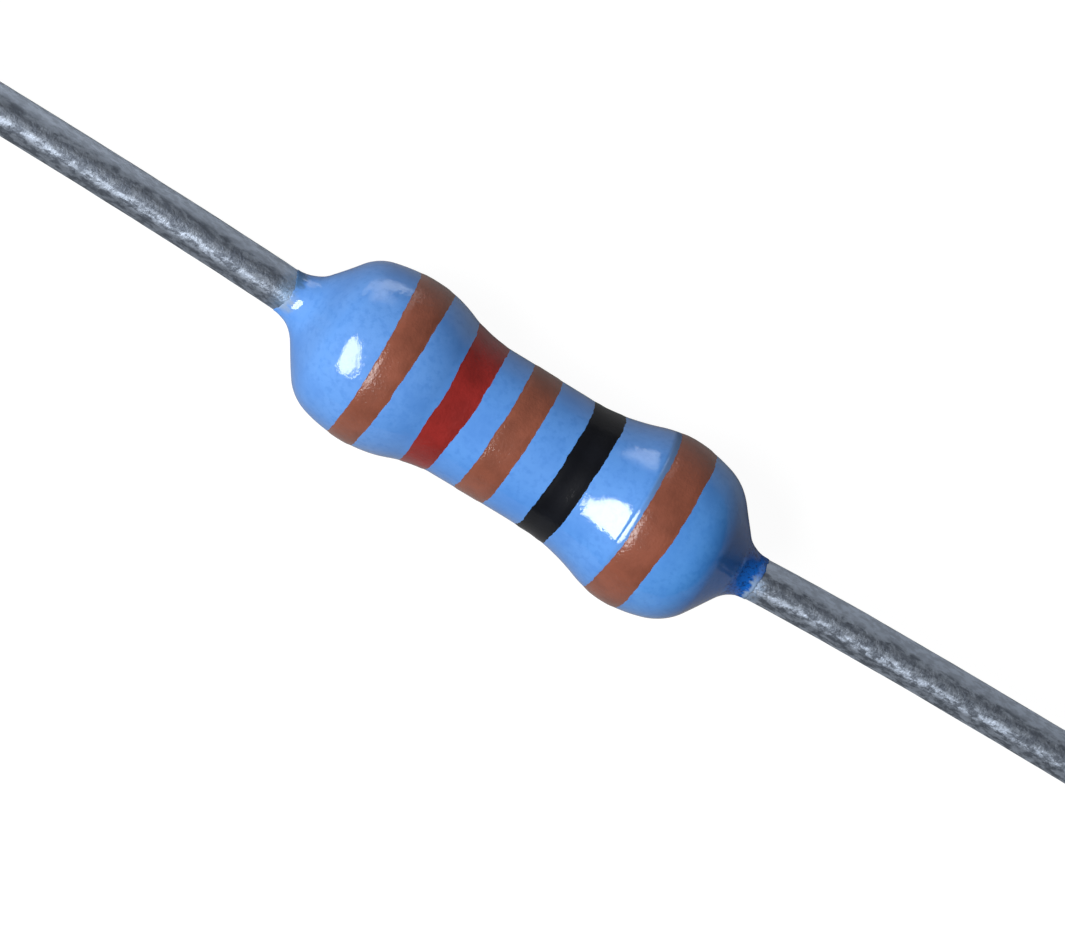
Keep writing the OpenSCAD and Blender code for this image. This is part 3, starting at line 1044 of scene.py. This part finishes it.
def soft_light(name, power, direction, distance, spread, roll):
    """An oval soft light that faces the body: spread in degrees along X and across, then rolled."""
    data = bpy.data.lights.new(name, "AREA")
    data.shape, data.energy = "ELLIPSE", power
    data.size, data.size_y = (2 * distance * math.tan(math.radians(angle / 2)) for angle in spread)
    obj = bpy.data.objects.new(name, data)
    bpy.context.scene.collection.objects.link(obj)
    back = Vector(direction).normalized()
    right = Vector((1, 0, 0)) - back * back.x
    right.normalize()
    turn = Matrix((right, back.cross(right), back)).transposed().to_4x4()
    turn = turn @ Matrix.Rotation(math.radians(roll), 4, "Z")
    obj.matrix_world = Matrix.Translation(back * distance) @ turn
    obj.visible_camera = False


def camera(s):
    """Looks down on the resistor, its left end up a little and the body rolled in the frame."""
    sensor = 36.0
    width_px, height_px = 1065, 930
    px_per_metre = 77.0 / MM
    # Where the body's middle lies in the frame, from its top left corner
    body_px = (520.3, 437.1)
    tilt, roll = math.radians(6.0), math.radians(31.3)
    distance = width_px / px_per_metre * s.lens / sensor
    back = Vector((-math.sin(tilt), 0, math.cos(tilt)))
    along = Vector((math.cos(tilt), 0, math.sin(tilt)))
    side = back.cross(along)
    right = along * math.cos(roll) + side * math.sin(roll)
    up = back.cross(right)
    turn = Matrix((right, up, back)).transposed().to_4x4()
    shift_right = (width_px / 2 - body_px[0]) / px_per_metre
    shift_up = (body_px[1] - height_px / 2) / px_per_metre
    data = bpy.data.cameras.new("Camera")
    data.lens, data.sensor_width = s.lens, sensor
    data.clip_start, data.clip_end = 0.001, 10
    obj = bpy.data.objects.new("Camera", data)
    bpy.context.scene.collection.objects.link(obj)
    place = back * distance + right * shift_right + up * shift_up
    obj.matrix_world = Matrix.Translation(place) @ turn
    bpy.context.scene.camera = obj


SETTINGS = {
    "resistor_lacquer": LacquerSettings,
    "resistor_bands": BandSettings,
    "resistor_leads": LeadSettings,
    "resistor_stage": StageSettings,
}


class RESISTOR_PT_panel(bpy.types.Panel):
    """Lists the resistor's settings and its steps"""

    bl_label = "Resistor"
    bl_space_type = "VIEW_3D"
    bl_region_type = "UI"
    bl_category = "Resistor"

    def draw(self, context):
        for group in SETTINGS:
            box = self.layout.box()
            settings = getattr(context.scene, group)
            for key in settings.__annotations__:
                box.prop(settings, key)
            # A group of settings has the name of the operator that uses it
            box.operator(group.replace("_", "."))
        self.layout.operator("resistor.core")


OPERATORS = (
    RESISTOR_OT_core, RESISTOR_OT_lacquer, RESISTOR_OT_bands, RESISTOR_OT_leads,
    RESISTOR_OT_stage,
)


def register():
    for cls in (*SETTINGS.values(), *OPERATORS, RESISTOR_PT_panel):
        bpy.utils.register_class(cls)
    for name, cls in SETTINGS.items():
        setattr(bpy.types.Scene, name, bpy.props.PointerProperty(type=cls))


def unregister():
    for name in SETTINGS:
        delattr(bpy.types.Scene, name)
    for cls in (RESISTOR_PT_panel, *reversed(OPERATORS), *reversed(list(SETTINGS.values()))):
        bpy.utils.unregister_class(cls)


def main():
    register()
    bpy.ops.resistor.core()
    bpy.ops.resistor.lacquer()
    bpy.ops.resistor.bands()
    bpy.ops.resistor.leads()
    bpy.ops.resistor.stage()


if __name__ == "__main__":
    main()
